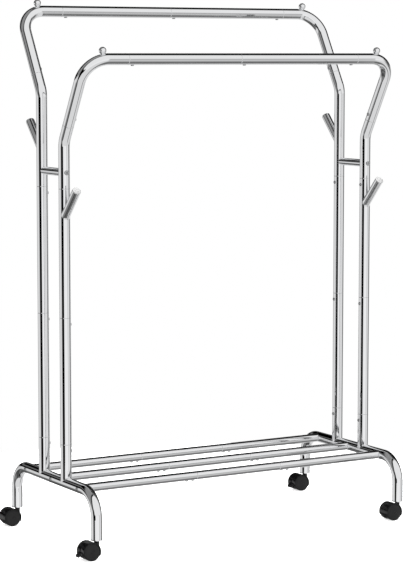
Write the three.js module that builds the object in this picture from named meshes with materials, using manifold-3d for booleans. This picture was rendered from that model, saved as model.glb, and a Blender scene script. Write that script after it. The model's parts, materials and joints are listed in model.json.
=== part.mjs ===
// Rolling clothes rack with two staggered hanging rails, built from plug-together tubes.
// Millimetres, +Z up. X runs along the rails, -Y is the low-rail side. The floor is at z = 0.
import * as THREE from 'three';
import { mergeVertices } from 'three/addons/utils/BufferGeometryUtils.js';
import Module from 'manifold-3d';

const wasm = await Module();
wasm.setup();

// ---- overall sizes ----
const endSpan = 1010;          // between the axes of the left and right uprights
const uprightGap = 138;        // between the axes of a front and a rear upright
const railSpread = 402;        // between the axes of the front and rear rails
const footSpan = 503;          // between the axes of the front and rear caster legs

// ---- tube lengths, each measured along its axis ----
const legLength = 128.5;       // from the leg's open end up to the foot beam's axis
const stubLength = 109;        // from the beam's axis to the first upright joint
const lowerLength = 357;
const middleLength = 360;
const frontKneeRise = 128.4;   // from the upper joint to the low rail's knees
const rearKneeRise = 264.4;    // from the upper joint to the high rail's knees
const slopeReach = 55;         // along the slope, from the knee to the corner tube
const cornerArm = 128;         // from the uprights' axes to the rail joints
const railMiddle = -18;        // where the two lengths of each rail meet
const shelfMiddleLength = 280;

// ---- tube sections ----
const tubeRadius = 16;
const tubeWall = 1;
const barRadius = 12.5;        // shelf bars
const barWall = 0.9;
const crossbarRadius = 11;
const hookRadius = 12.5;
const spigotClearance = 0.6;   // between a plugged-in end and its socket
const spigotWall = 1;
const spigotLength = 40;
const spigotTaper = 4;
const gap = 0.3;               // between pieces that touch
const sides = 12;              // facets round every tube

// ---- bends ----
const footBend = 70;
const kneeBend = 60;
const kneeAngle = THREE.MathUtils.degToRad(30);
const cornerBend = 70;
const bendStep = THREE.MathUtils.degToRad(22.5);  // at most, between sections round a bend

// ---- shelf, crossbars, hooks and finials ----
const shelfInset = 87;         // outer shelf bars, in from the caster legs
const crossbarRise = 45;       // above the upper joint
const hookAngle = THREE.MathUtils.degToRad(43);
const hookLength = 110;        // from the upright's axis to the tip
const frontHookDrop = 82;      // below the upper joint
const rearHookRise = 101;      // above the upper joint
const ballRadius = 10.4;
const ballLift = 8.8;          // ball centre above the top of the tube
const ballNeck = 5;
const ballNeckSink = 4;        // the neck's lower end, below the top of the tube
const ballStem = 3;
const ballStemDepth = 9;
const ballInset = 53;          // from the upright's axis, along the rail

// ---- casters ----
const wheelRadius = 25;
const legClearance = 2.5;      // from the top of the wheels to the leg's open end
const wheelSides = 20;
const wheelInner = 4.8;        // wheel faces, from the caster's mid-plane
const wheelOuter = 21;
const wheelDome = 3.6;         // crown of the outer face, beyond the tread
const wheelChamfer = 1;
const wheelShoulder = 2.5;
const trail = 24;              // axle behind the swivel axis
const axleRadius = 3;
const axleHalf = 19;
const hoodClearance = 0.5;
const hoodWall = 1.3;
const hoodHalf = 22.5;
const hoodFrom = -28;          // hood arc in degrees, from +X over the top
const hoodTo = 202;
const hoodSteps = 14;          // flats round the hood's arc
const webHalf = 4;
const webFloor = -11;          // lower edge of the web, from the axle
const neckRadius = 7.5;
const stemRadius = 4;
const stemDepth = 20;
const neckFloor = 2;           // solid below the stem's bore
const plugLength = 30;
const plugHead = 3;

// ---- brake lever ----
const leverInset = 10.4;       // pivot, in from the hood's outer face
const leverRise = 2;           // pivot above the axle
const leverPin = 1.6;          // radius
const leverArmHalf = 1.8;
const leverSlotHalf = 2.2;
const leverSlotTop = 11;       // above the axle
const leverSlotFloor = -15;
const leverSlotDepth = 18.5;   // in from the hood's outer face
const leverPadHalf = 8;
// Outlines in x and z from the pivot.
const leverPad = [[-11.4, -0.5], [-20.6, -10], [-20.4, -15], [-17, -15.6], [-11.8, -8]];
const leverArm = [[-12.5, -1.6], [0, 3.4], [3.4, 0], [0, -3.4], [-12.5, -7]];

// ---- worked out from the above ----
const wheelHeight = wheelRadius;
const legBottom = wheelRadius * 2 + legClearance;
const beamHeight = legBottom + legLength;
const stubJoint = beamHeight + stubLength;
const lowerJoint = stubJoint + lowerLength;
const upperJoint = lowerJoint + middleLength;
const halfSpan = endSpan / 2;
const railJoint = halfSpan - cornerArm;
const shelfJoint = shelfMiddleLength / 2;
const shelfSide = footSpan / 2 - shelfInset;
const shelfRows = { front: -shelfSide, centre: 0, rear: shelfSide };
const crossbarHeight = upperJoint + crossbarRise;
const frontHookHeight = upperJoint - frontHookDrop;
const rearHookHeight = upperJoint + rearHookRise;
const slopeRun = (railSpread - uprightGap) / 2;
const slopeRise = slopeRun / Math.tan(kneeAngle);
const frontRailHeight = upperJoint + frontKneeRise + slopeRise;
const rearRailHeight = upperJoint + rearKneeRise + slopeRise;
const socketRadius = tubeRadius - tubeWall;
const spigotRadius = socketRadius - spigotClearance;
const wheelCorner = wheelRadius / Math.cos(Math.PI / wheelSides);
const hoodInner = wheelCorner + hoodClearance;
const hoodOuter = hoodInner + hoodWall;
const leverPivot = [leverInset - hoodOuter, leverRise];
const leverTip = Math.max(...leverPad.map(([x]) => -x)) - leverPivot[0];
const leftReach = halfSpan + trail + leverTip;
const rightReach = halfSpan + tubeRadius;
const centreShift = (leftReach - rightReach) / 2;

// ---- finishes ----
function finish(name, color, roughness, metalness) {
  return new THREE.MeshStandardMaterial({ name, color, roughness, metalness });
}
const chrome = finish('chrome', 0xd9dadc, 0.08, 1);
const steel = finish('steel', 0xb9bbbe, 0.3, 1);
const blackPlastic = finish('black_plastic', 0x141414, 0.3, 0);
const wheelPlastic = finish('wheel_plastic', 0x1d1d1e, 0.45, 0);

const rack = new THREE.Group();
rack.name = 'rolling_clothes_rack';

function place(name, geometry, material) {
  const mesh = new THREE.Mesh(geometry, material);
  mesh.name = name;
  mesh.position.x = centreShift;
  rack.add(mesh);
}

// ---- solids ----
function toSolid(geometry) {
  const bare = geometry.index ? geometry.toNonIndexed() : geometry.clone();
  bare.deleteAttribute('normal');
  bare.deleteAttribute('uv');
  const merged = mergeVertices(bare, 1e-4);
  const vertProperties = new Float32Array(merged.attributes.position.array);
  const triVerts = new Uint32Array(merged.index.array);
  return new wasm.Manifold(new wasm.Mesh({ numProp: 3, vertProperties, triVerts }));
}

function toGeometry(solid) {
  const mesh = solid.getMesh();
  const geometry = new THREE.BufferGeometry();
  geometry.setAttribute('position', new THREE.BufferAttribute(mesh.vertProperties, 3));
  geometry.setIndex(new THREE.BufferAttribute(mesh.triVerts, 1));
  geometry.computeVertexNormals();
  return geometry;
}

// A run of tube centre line: straight stretches with a round bend at each inner corner.
class Route extends THREE.Curve {
  constructor(corners, radii) {
    super();
    this.stations = [];
    const last = corners.length - 1;
    corners.forEach((corner, i) => {
      if (i === 0 || i === last) {
        const along = i === 0 ? corners[1].clone().sub(corner) : corner.clone().sub(corners[last - 1]);
        this.stations.push({ point: corner.clone(), tangent: along.normalize() });
        return;
      }
      this.addBend(corners[i - 1], corner, corners[i + 1], radii[i - 1]);
    });
  }

  addBend(before, corner, after, radius) {
    const arriving = corner.clone().sub(before).normalize();
    const leaving = after.clone().sub(corner).normalize();
    const turn = arriving.angleTo(leaving);
    const start = corner.clone().addScaledVector(arriving, -radius * Math.tan(turn / 2));
    const inward = leaving.clone().addScaledVector(arriving, -Math.cos(turn)).normalize();
    const steps = Math.ceil(turn / bendStep - 1e-6);
    for (let step = 0; step <= steps; step += 1) {
      const angle = turn * step / steps;
      const point = start.clone()
        .addScaledVector(arriving, radius * Math.sin(angle))
        .addScaledVector(inward, radius * (1 - Math.cos(angle)));
      const tangent = arriving.clone().multiplyScalar(Math.cos(angle))
        .addScaledVector(inward, Math.sin(angle));
      this.stations.push({ point, tangent });
    }
  }

  station(share) {
    return this.stations[Math.round(share * (this.stations.length - 1))];
  }

  getPointAt(share) {
    return this.station(share).point.clone();
  }

  getTangentAt(share) {
    return this.station(share).tangent.clone();
  }
}

// Solid round bar of the given radius along a route.
function rod(corners, radii, radius) {
  const route = new Route(corners, radii);
  const section = new THREE.Shape();
  section.absarc(0, 0, radius, 0, Math.PI * 2);
  const geometry = new THREE.ExtrudeGeometry(section, {
    steps: route.stations.length - 1,
    curveSegments: sides / 2,
    extrudePath: route,
  });
  return toSolid(geometry);
}

// The same route with its two ends moved outwards, or inwards where negative.
function stretched(corners, atStart, atEnd) {
  const moved = corners.map((corner) => corner.clone());
  const last = moved.length - 1;
  const startWay = moved[0].clone().sub(moved[1]).normalize();
  const endWay = moved[last].clone().sub(moved[last - 1]).normalize();
  moved[0].addScaledVector(startWay, atStart);
  moved[last].addScaledVector(endWay, atEnd);
  return moved;
}

// Straight rod between two points.
function straight(from, to, radius) {
  return rod([from, to], [], radius);
}

// Bent tube whose ends are sockets or plug-in spigots.
function tube(corners, radii, ends, extras = []) {
  const startPlug = ends.start === 'spigot' ? spigotLength : 0;
  const endPlug = ends.end === 'spigot' ? spigotLength : 0;
  let outer = rod(stretched(corners, -gap / 2, -gap / 2), radii, tubeRadius);
  for (const extra of extras) {
    outer = outer.add(extra);
  }
  if (startPlug || endPlug) {
    outer = outer.add(rod(stretched(corners, startPlug || -gap, endPlug || -gap), radii, spigotRadius));
  }
  const startBore = startPlug ? -spigotTaper : spigotTaper;
  const endBore = endPlug ? -spigotTaper : spigotTaper;
  outer = outer.subtract(rod(stretched(corners, startBore, endBore), radii, socketRadius));
  if (startPlug || endPlug) {
    const through = rod(
      stretched(corners, startPlug + spigotTaper, endPlug + spigotTaper),
      radii,
      spigotRadius - spigotWall,
    );
    outer = outer.subtract(through);
  }
  return outer;
}

// Straight tube as one turned wall, lying along X, with sockets or spigots at its ends.
function turnedTube(from, to, ends, radius, wall) {
  const socket = radius - wall;
  const plug = socket - spigotClearance;
  const plugBore = plug - spigotWall;
  const low = from + gap / 2;
  const high = to - gap / 2;
  const profile = [];
  if (ends.start === 'spigot') {
    profile.push([socket, low + spigotTaper], [plugBore, low + spigotTaper / 2]);
    profile.push([plugBore, from - spigotLength], [plug, from - spigotLength], [plug, low]);
  } else {
    profile.push([socket, low]);
  }
  profile.push([radius, low], [radius, high]);
  if (ends.end === 'spigot') {
    profile.push([plug, high], [plug, to + spigotLength], [plugBore, to + spigotLength]);
    profile.push([plugBore, high - spigotTaper / 2], [socket, high - spigotTaper]);
  } else {
    profile.push([socket, high]);
  }
  profile.push(profile[0]);
  const points = profile.map(([r, along]) => new THREE.Vector2(r, along));
  return new THREE.LatheGeometry(points, sides);
}

function alongZ(geometry, x, y) {
  return geometry.rotateX(Math.PI / 2).translate(x, y, 0);
}

function alongX(geometry, y, z) {
  return geometry.rotateZ(-Math.PI / 2).translate(0, y, z);
}

function point(x, y, z) {
  return new THREE.Vector3(x, y, z);
}

// ---- corners of the rack ----
const ends = [
  { end: 'left', out: -1 },
  { end: 'right', out: 1 },
];
const rows = [
  { row: 'front', face: -1, railHeight: frontRailHeight },
  { row: 'rear', face: 1, railHeight: rearRailHeight },
];

// Foot frame: a beam bent down into two caster legs, with two welded upright stubs.
function footFrame(out) {
  const x = out * halfSpan;
  const legs = [-1, 1].map((face) => face * footSpan / 2);
  const corners = [
    point(x, legs[0], legBottom),
    point(x, legs[0], beamHeight),
    point(x, legs[1], beamHeight),
    point(x, legs[1], legBottom),
  ];
  const bends = [footBend, footBend];
  let frame = rod(corners, bends, tubeRadius);
  let hollow = rod(stretched(corners, 1, 1), bends, socketRadius);
  for (const face of [-1, 1]) {
    const y = face * uprightGap / 2;
    const top = stubJoint - gap / 2;
    const floor = beamHeight + tubeRadius + tubeWall;
    frame = frame.add(straight(point(x, y, beamHeight), point(x, y, top), tubeRadius));
    hollow = hollow.add(straight(point(x, y, floor), point(x, y, stubJoint + 1), socketRadius));
  }
  return frame.subtract(hollow);
}

// Welded coat hook: a hollow tube that slopes up and away from its upright.
function hook(x, face, height) {
  const y = face * uprightGap / 2;
  const way = point(0, face * Math.sin(hookAngle), Math.cos(hookAngle));
  const root = point(x, y, height);
  const at = (reach) => root.clone().addScaledVector(way, reach);
  const boreStart = (tubeRadius + tubeWall) / Math.sin(hookAngle) + hookRadius / Math.tan(hookAngle);
  return {
    outside: straight(at(0), at(hookLength), hookRadius),
    bore: straight(at(boreStart), at(hookLength + 1), hookRadius - tubeWall),
  };
}

function middleUpright(x, face, hooked) {
  const y = face * uprightGap / 2;
  const run = [point(x, y, lowerJoint), point(x, y, upperJoint)];
  const fit = { start: 'spigot', end: 'socket' };
  if (!hooked) {
    return alongZ(turnedTube(lowerJoint, upperJoint, fit, tubeRadius, tubeWall), x, y);
  }
  const coatHook = hook(x, face, frontHookHeight);
  return toGeometry(tube(run, [], fit, [coatHook.outside]).subtract(coatHook.bore));
}

// Knee, slope and corner of one end of a rail.
function kneePoint(x, face, railHeight) {
  return point(x, face * uprightGap / 2, railHeight - slopeRise);
}

function slopePoint(x, face, railHeight) {
  const knee = kneePoint(x, face, railHeight);
  const way = point(0, face * Math.sin(kneeAngle), Math.cos(kneeAngle));
  return knee.addScaledVector(way, slopeReach);
}

function upperUpright(x, face, railHeight, hooked) {
  const run = [
    point(x, face * uprightGap / 2, upperJoint),
    kneePoint(x, face, railHeight),
    slopePoint(x, face, railHeight),
  ];
  const fit = { start: 'spigot', end: 'spigot' };
  if (!hooked) {
    return tube(run, [kneeBend], fit);
  }
  const coatHook = hook(x, face, rearHookHeight);
  return tube(run, [kneeBend], fit, [coatHook.outside]).subtract(coatHook.bore);
}

function cornerRun(out, face, railHeight) {
  const x = out * halfSpan;
  const y = face * railSpread / 2;
  return [
    slopePoint(x, face, railHeight),
    point(x, y, railHeight),
    point(out * railJoint, y, railHeight),
  ];
}

// Where a finial stands on its corner tube, on the first part of the bend.
function finialSeat(out, face, railHeight) {
  const past = cornerBend - ballInset;
  const drop = cornerBend - Math.sqrt(cornerBend ** 2 - Math.max(past, 0) ** 2);
  const x = out * (halfSpan - ballInset);
  const y = face * (railSpread / 2 - drop * Math.sin(kneeAngle));
  return point(x, y, railHeight + tubeRadius - drop * Math.cos(kneeAngle));
}

function ballFinial(out, face, railHeight) {
  const seat = finialSeat(out, face, railHeight);
  const ball = new THREE.SphereGeometry(ballRadius, sides, sides / 2)
    .rotateX(Math.PI / 2)
    .translate(seat.x, seat.y, seat.z + ballLift);
  const under = (depth) => point(seat.x, seat.y, seat.z - depth);
  const middle = under(-ballLift);
  const neck = straight(under(ballNeckSink), middle, ballNeck);
  const around = rod(cornerRun(out, face, railHeight), [cornerBend], tubeRadius + gap);
  const stem = straight(under(ballStemDepth), middle, ballStem);
  return toSolid(ball).add(neck).subtract(around).add(stem);
}

function cornerTube(out, face, railHeight) {
  const seat = finialSeat(out, face, railHeight);
  const drill = straight(
    point(seat.x, seat.y, seat.z - tubeRadius),
    point(seat.x, seat.y, seat.z + tubeRadius),
    ballStem + gap,
  );
  const fit = { start: 'socket', end: 'spigot' };
  return tube(cornerRun(out, face, railHeight), [cornerBend], fit).subtract(drill);
}

for (const { end, out } of ends) {
  const x = out * halfSpan;
  place(`foot_frame_${end}`, toGeometry(footFrame(out)), chrome);
  for (const { row, face, railHeight } of rows) {
    const spot = `${row}_${end}`;
    const y = face * uprightGap / 2;
    const front = row === 'front';
    const lower = turnedTube(stubJoint, lowerJoint, { start: 'spigot', end: 'socket' }, tubeRadius, tubeWall);
    place(`lower_upright_${spot}`, alongZ(lower, x, y), chrome);
    place(`middle_upright_${spot}`, middleUpright(x, face, front), chrome);
    place(`upper_upright_${spot}`, toGeometry(upperUpright(x, face, railHeight, !front)), chrome);
    place(`corner_tube_${spot}`, toGeometry(cornerTube(out, face, railHeight)), chrome);
    place(`ball_finial_${spot}`, toGeometry(ballFinial(out, face, railHeight)), chrome);
  }
}

// ---- rails: two lengths each, the left one plugged into the right one ----
for (const { row, face, railHeight } of rows) {
  const y = face * railSpread / 2;
  const left = turnedTube(-railJoint, railMiddle, { start: 'socket', end: 'spigot' }, tubeRadius, tubeWall);
  const right = turnedTube(railMiddle, railJoint, { start: 'socket', end: 'socket' }, tubeRadius, tubeWall);
  place(`rail_${row}_left`, alongX(left, y, railHeight), chrome);
  place(`rail_${row}_right`, alongX(right, y, railHeight), chrome);
}

// ---- shelf bars: three lengths each, their ends saddled on the foot beams ----
function shelfEnd(out, y) {
  const near = out * shelfJoint;
  const far = out * halfSpan;
  const fit = { start: 'socket', end: 'socket' };
  const length = turnedTube(Math.min(near, far), Math.max(near, far), fit, barRadius, barWall);
  const bar = toSolid(alongX(length, y, beamHeight));
  const beam = straight(
    point(far, y - tubeRadius * 2, beamHeight),
    point(far, y + tubeRadius * 2, beamHeight),
    tubeRadius + gap,
  );
  const beyond = new THREE.BoxGeometry(tubeRadius * 2, tubeRadius * 3, tubeRadius * 3)
    .translate(out * (halfSpan + tubeRadius), y, beamHeight);
  return toGeometry(bar.subtract(beam.add(toSolid(beyond))));
}

for (const [row, y] of Object.entries(shelfRows)) {
  for (const { end, out } of ends) {
    place(`shelf_bar_${row}_${end}`, shelfEnd(out, y), chrome);
  }
  const fit = { start: 'spigot', end: 'spigot' };
  const middle = turnedTube(-shelfJoint, shelfJoint, fit, barRadius, barWall);
  place(`shelf_bar_${row}_middle`, alongX(middle, y, beamHeight), chrome);
}

// ---- crossbars between the front and rear uprights ----
function crossbar(x) {
  const reach = uprightGap / 2;
  const at = (y) => point(x, y, crossbarHeight);
  let bar = straight(at(-reach), at(reach), crossbarRadius);
  bar = bar.subtract(straight(at(-reach - 1), at(reach + 1), crossbarRadius - tubeWall));
  for (const face of [-1, 1]) {
    const low = point(x, face * reach, crossbarHeight - tubeRadius * 2);
    const high = point(x, face * reach, crossbarHeight + tubeRadius * 2);
    bar = bar.subtract(straight(low, high, tubeRadius + gap));
  }
  return bar;
}

// ---- casters: twin wheels on one axle under a hood that swivels on a plugged-in stem ----
function turnedAlongY(profile, segments) {
  const points = profile.map(([r, along]) => new THREE.Vector2(r, along));
  return new THREE.LatheGeometry(points, segments);
}

function cylinderY(radius, half, segments) {
  return new THREE.CylinderGeometry(radius, radius, half * 2, segments);
}

function block(x, y, z, halfX, halfY, halfZ) {
  return toSolid(new THREE.BoxGeometry(halfX * 2, halfY * 2, halfZ * 2).translate(x, y, z));
}

// Outline in X and Z, drawn about the axle, with thickness across Y.
function plate(outline, half) {
  const shape = new THREE.Shape(outline.map(([x, z]) => new THREE.Vector2(x, z)));
  const geometry = new THREE.ExtrudeGeometry(shape, { depth: half * 2, bevelEnabled: false });
  return toSolid(geometry.rotateX(Math.PI / 2).translate(0, half, 0));
}

function casterWheel(side) {
  const bore = axleRadius + gap;
  const blind = axleHalf + gap;
  const rim = wheelCorner;
  const profile = [
    [0, blind],
    [bore, blind],
    [bore, wheelInner],
    [rim - wheelChamfer, wheelInner],
    [rim, wheelInner + wheelChamfer],
    [rim, wheelOuter],
    [rim - wheelShoulder, wheelOuter + wheelDome * 0.6],
    [rim / 2, wheelOuter + wheelDome * 0.95],
    [0, wheelOuter + wheelDome],
  ];
  const wheel = turnedAlongY(profile, wheelSides).rotateY(Math.PI / wheelSides);
  return side > 0 ? wheel : wheel.rotateZ(Math.PI);
}

function arcPoints(radius, from, to, steps) {
  return Array.from({ length: steps + 1 }, (_, i) => {
    const angle = THREE.MathUtils.degToRad(from + (to - from) * i / steps);
    return [radius * Math.cos(angle), radius * Math.sin(angle)];
  });
}

// The hood is drawn about the axle; the swivel axis is at x = trail.
function casterHood(braked) {
  const outside = arcPoints(hoodOuter, hoodFrom, hoodTo, hoodSteps);
  const inside = arcPoints(hoodInner, hoodTo, hoodFrom, hoodSteps);
  let hood = plate([...outside, ...inside], hoodHalf);
  const disc = toSolid(cylinderY(hoodInner + hoodWall / 2, webHalf, hoodSteps * 2));
  const underWeb = block(0, 0, webFloor - wheelRadius, wheelRadius * 2, webHalf * 2, wheelRadius);
  hood = hood.add(disc.subtract(underWeb));
  const neckTop = legBottom - wheelHeight - gap;
  const neck = straight(point(trail, 0, neckTop), point(trail, 0, neckTop - stemDepth - neckFloor), neckRadius);
  const wheelRoom = (side) => toSolid(cylinderY(hoodInner, wheelOuter / 2, wheelSides)
    .translate(0, side * (wheelInner - gap + wheelOuter / 2), 0));
  hood = hood.add(neck.subtract(wheelRoom(1)).subtract(wheelRoom(-1)));
  hood = hood.subtract(straight(
    point(trail, 0, neckTop + 1),
    point(trail, 0, neckTop - stemDepth),
    stemRadius + gap,
  ));
  hood = hood.subtract(toSolid(cylinderY(axleRadius + gap, webHalf * 2, sides)));
  if (braked) {
    const slotX = leverSlotDepth / 2 - hoodOuter;
    const slotZ = (leverSlotTop + leverSlotFloor) / 2;
    const slotHalfZ = (leverSlotTop - leverSlotFloor) / 2;
    const slotHalfX = leverSlotDepth / 2 + gap;
    hood = hood.subtract(block(slotX, 0, slotZ, slotHalfX, leverSlotHalf, slotHalfZ));
    const pin = toSolid(cylinderY(leverPin, webHalf - gap, sides).translate(leverPivot[0], 0, leverPivot[1]));
    hood = hood.add(pin);
  }
  return hood;
}

function brakeLever() {
  const lever = plate(leverPad, leverPadHalf).add(plate(leverArm, leverArmHalf));
  const hole = toSolid(cylinderY(leverPin + gap, leverPadHalf, sides));
  return lever.subtract(hole).translate([leverPivot[0], 0, leverPivot[1]]);
}

function casterStem() {
  const stemEnd = legBottom - stemDepth;
  const plugRadius = socketRadius - spigotClearance;
  const profile = [
    [0, stemEnd],
    [stemRadius, stemEnd],
    [stemRadius, legBottom],
    [plugRadius, legBottom],
    [plugRadius, legBottom + plugLength - plugHead],
    [plugRadius - plugHead, legBottom + plugLength],
    [0, legBottom + plugLength],
  ];
  return turnedAlongY(profile, sides);
}

for (const { end, out } of ends) {
  place(`crossbar_${end}`, toGeometry(crossbar(out * halfSpan)), chrome);
  for (const { row, face } of rows) {
    const spot = `${row}_${end}`;
    const legX = out * halfSpan;
    const legY = face * footSpan / 2;
    const braked = spot === 'front_left' || spot === 'rear_right';
    const toAxle = (geometry) => geometry.translate(legX - trail, legY, wheelHeight);
    place(`caster_stem_${spot}`, alongZ(casterStem(), legX, legY), steel);
    place(`caster_hood_${spot}`, toAxle(toGeometry(casterHood(braked))), blackPlastic);
    place(`caster_axle_${spot}`, toAxle(cylinderY(axleRadius, axleHalf, sides)), steel);
    place(`caster_wheel_${spot}_near`, toAxle(casterWheel(-1)), wheelPlastic);
    place(`caster_wheel_${spot}_far`, toAxle(casterWheel(1)), wheelPlastic);
    if (braked) {
      place(`brake_lever_${spot}`, toAxle(toGeometry(brakeLever())), blackPlastic);
    }
  }
}

export default rack;
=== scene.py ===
"""Rolling clothes rack: the finished look of the rack, laid out as an add-on and run as a script."""

import json
import math

import bmesh
import bpy
from mathutils import Matrix, Vector


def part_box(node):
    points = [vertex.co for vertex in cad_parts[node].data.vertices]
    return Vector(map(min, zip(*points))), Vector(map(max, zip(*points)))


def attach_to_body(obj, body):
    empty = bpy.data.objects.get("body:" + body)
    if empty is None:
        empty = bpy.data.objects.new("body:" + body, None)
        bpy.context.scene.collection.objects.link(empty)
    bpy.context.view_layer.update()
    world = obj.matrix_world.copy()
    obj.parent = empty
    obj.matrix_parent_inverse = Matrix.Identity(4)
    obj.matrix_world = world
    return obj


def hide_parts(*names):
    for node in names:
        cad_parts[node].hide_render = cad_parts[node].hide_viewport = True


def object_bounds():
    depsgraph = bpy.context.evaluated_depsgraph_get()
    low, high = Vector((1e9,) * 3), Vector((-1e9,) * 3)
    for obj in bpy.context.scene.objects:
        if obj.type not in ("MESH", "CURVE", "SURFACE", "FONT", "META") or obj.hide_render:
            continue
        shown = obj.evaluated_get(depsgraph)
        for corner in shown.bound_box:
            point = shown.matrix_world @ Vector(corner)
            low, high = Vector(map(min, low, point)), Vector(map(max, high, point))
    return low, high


bl_info = {
    "name": "Rolling clothes rack",
    "version": (1, 0, 0),
    "blender": (4, 5, 0),
    "location": "View3D > Sidebar > Rack",
    "description": "Builds the tubes, fasteners, casters and studio of a rolling clothes rack",
    "category": "Object",
}

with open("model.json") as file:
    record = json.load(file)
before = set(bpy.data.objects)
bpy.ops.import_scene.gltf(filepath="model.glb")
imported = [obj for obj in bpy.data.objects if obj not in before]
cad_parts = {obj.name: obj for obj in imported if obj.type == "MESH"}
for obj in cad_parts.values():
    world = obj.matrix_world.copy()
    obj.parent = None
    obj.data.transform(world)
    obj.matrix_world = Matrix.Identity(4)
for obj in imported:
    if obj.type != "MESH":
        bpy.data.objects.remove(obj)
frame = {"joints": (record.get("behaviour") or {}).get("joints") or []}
CAD_BOX = [list(corner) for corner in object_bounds()]

MM = 0.001
ENDS = {"left": -1, "right": 1}
ROWS = {"front": -1, "rear": 1}
SPOTS = [(row, end) for end in ENDS for row in ROWS]
SIDES = {"near": -1, "far": 1}
SHELVES = ("front", "centre", "rear")
BRAKED = ("front_left", "rear_right")
FASTENER_SIDES = 24
FIXED = "rack_frame"
DEGREES = 180 / math.pi
X = Vector((1, 0, 0))
Y = Vector((0, 1, 0))
Z = Vector((0, 0, 1))


# ---------------------------------------------------------------- places read from the frame
def middle(node):
    low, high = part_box(node)
    return (low + high) / 2


def lowest(node):
    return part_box(node)[0]


def highest(node):
    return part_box(node)[1]


SEAM = 0.3 * MM     # between pieces that touch
BAND = 1.2 * MM     # narrow ring of faces at a tube's end, which keeps its shading true
TUBE_RADIUS = (highest("lower_upright_front_left").x - lowest("lower_upright_front_left").x) / 2
BAR_RADIUS = (highest("shelf_bar_front_left").z - lowest("shelf_bar_front_left").z) / 2
CROSSBAR_RADIUS = (highest("crossbar_left").x - lowest("crossbar_left").x) / 2
BEAM_HEIGHT = middle("shelf_bar_front_left").z
CROSSBAR_HEIGHT = middle("crossbar_left").z
LEG_BOTTOM = lowest("foot_frame_left").z
LEG_REACH = highest("foot_frame_left").y - TUBE_RADIUS
STUB_JOINT = highest("foot_frame_left").z + SEAM / 2
LOWER_JOINT = highest("lower_upright_front_left").z + SEAM / 2
MIDDLE_JOINT = highest("middle_upright_rear_left").z + SEAM / 2
SPIGOT = STUB_JOINT - lowest("lower_upright_front_left").z
RAIL_LEFT = lowest("rail_front_left").x - SEAM / 2
RAIL_MIDDLE = lowest("rail_front_right").x - SEAM / 2
RAIL_RIGHT = highest("rail_front_right").x + SEAM / 2
SHELF_LEFT = highest("shelf_bar_front_left").x + SEAM / 2
SHELF_RIGHT = lowest("shelf_bar_front_right").x - SEAM / 2
JOINTS = {joint["name"]: Vector(joint["pos_m"]) for joint in frame["joints"]}


def upright_axis(row, end, height=0.0):
    spot = middle(f"lower_upright_{row}_{end}")
    return Vector((spot.x, spot.y, height))


def rail_axis(row, x=0.0):
    spot = middle(f"rail_{row}_left")
    return Vector((x, spot.y, spot.z))


def slope_way(row):
    lean = tube_sizes().knee_angle
    return Vector((0, ROWS[row] * math.sin(lean), math.cos(lean)))


def knee(row, end):
    foot = upright_axis(row, end)
    rail = rail_axis(row)
    rise = (abs(rail.y) - abs(foot.y)) / math.tan(tube_sizes().knee_angle)
    return upright_axis(row, end, rail.z - rise)


def slope_joint(row, end):
    return knee(row, end) + slope_way(row) * tube_sizes().slope_reach


# ---------------------------------------------------------------- settings
class RackTubeSettings(bpy.types.PropertyGroup):
    wall: bpy.props.FloatProperty(
        name="Tube wall", description="Wall of the main tubes", default=1.0 * MM, unit="LENGTH")
    bar_wall: bpy.props.FloatProperty(
        name="Shelf bar wall", description="Wall of the shelf bars", default=0.9 * MM, unit="LENGTH")
    lip: bpy.props.FloatProperty(
        name="End rounding", description="Rounding of the cut ends", default=0.35 * MM, unit="LENGTH")
    play: bpy.props.FloatProperty(
        name="Spigot play", description="Gap round a plugged-in end", default=0.6 * MM, unit="LENGTH")
    foot_bend: bpy.props.FloatProperty(
        name="Foot bend", description="Radius of the foot beams' bends", default=70 * MM, unit="LENGTH")
    knee_bend: bpy.props.FloatProperty(
        name="Knee bend", description="Radius of the uprights' knees", default=60 * MM, unit="LENGTH")
    corner_bend: bpy.props.FloatProperty(
        name="Corner bend", description="Radius from slope to rail", default=70 * MM, unit="LENGTH")
    knee_angle: bpy.props.FloatProperty(
        name="Slope", description="Lean of the sloping tubes", default=math.radians(30), subtype="ANGLE")
    slope_reach: bpy.props.FloatProperty(
        name="Slope joint", description="From the knee to the corner tube", default=55 * MM, unit="LENGTH")
    hook_radius: bpy.props.FloatProperty(
        name="Hook radius", description="Coat hook tube", default=12.5 * MM, unit="LENGTH")
    hook_length: bpy.props.FloatProperty(
        name="Hook length", description="From the upright's axis to the tip", default=110 * MM,
        unit="LENGTH")
    hook_angle: bpy.props.FloatProperty(
        name="Hook angle", description="Lean of the hooks from vertical", default=math.radians(43),
        subtype="ANGLE")
    front_hook_drop: bpy.props.FloatProperty(
        name="Front hook drop", description="Root of a front hook, below the middle joint",
        default=82 * MM, unit="LENGTH")
    rear_hook_rise: bpy.props.FloatProperty(
        name="Rear hook rise", description="Root of a rear hook, above the middle joint",
        default=101 * MM, unit="LENGTH")
    cap_rise: bpy.props.FloatProperty(
        name="Cap rise", description="Dome of a hook's cap", default=2.2 * MM, unit="LENGTH")
    weld: bpy.props.FloatProperty(
        name="Hook weld", description="Width of a hook's weld", default=1.8 * MM, unit="LENGTH")
    stub_weld: bpy.props.FloatProperty(
        name="Stub weld", description="Width of a stub's weld", default=1.2 * MM, unit="LENGTH")
    sides: bpy.props.IntProperty(
        name="Sides", description="Faces round a tube", default=64, min=12)
    bend_steps: bpy.props.IntProperty(
        name="Bend steps", description="Faces along a quarter turn", default=24, min=4)


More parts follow.
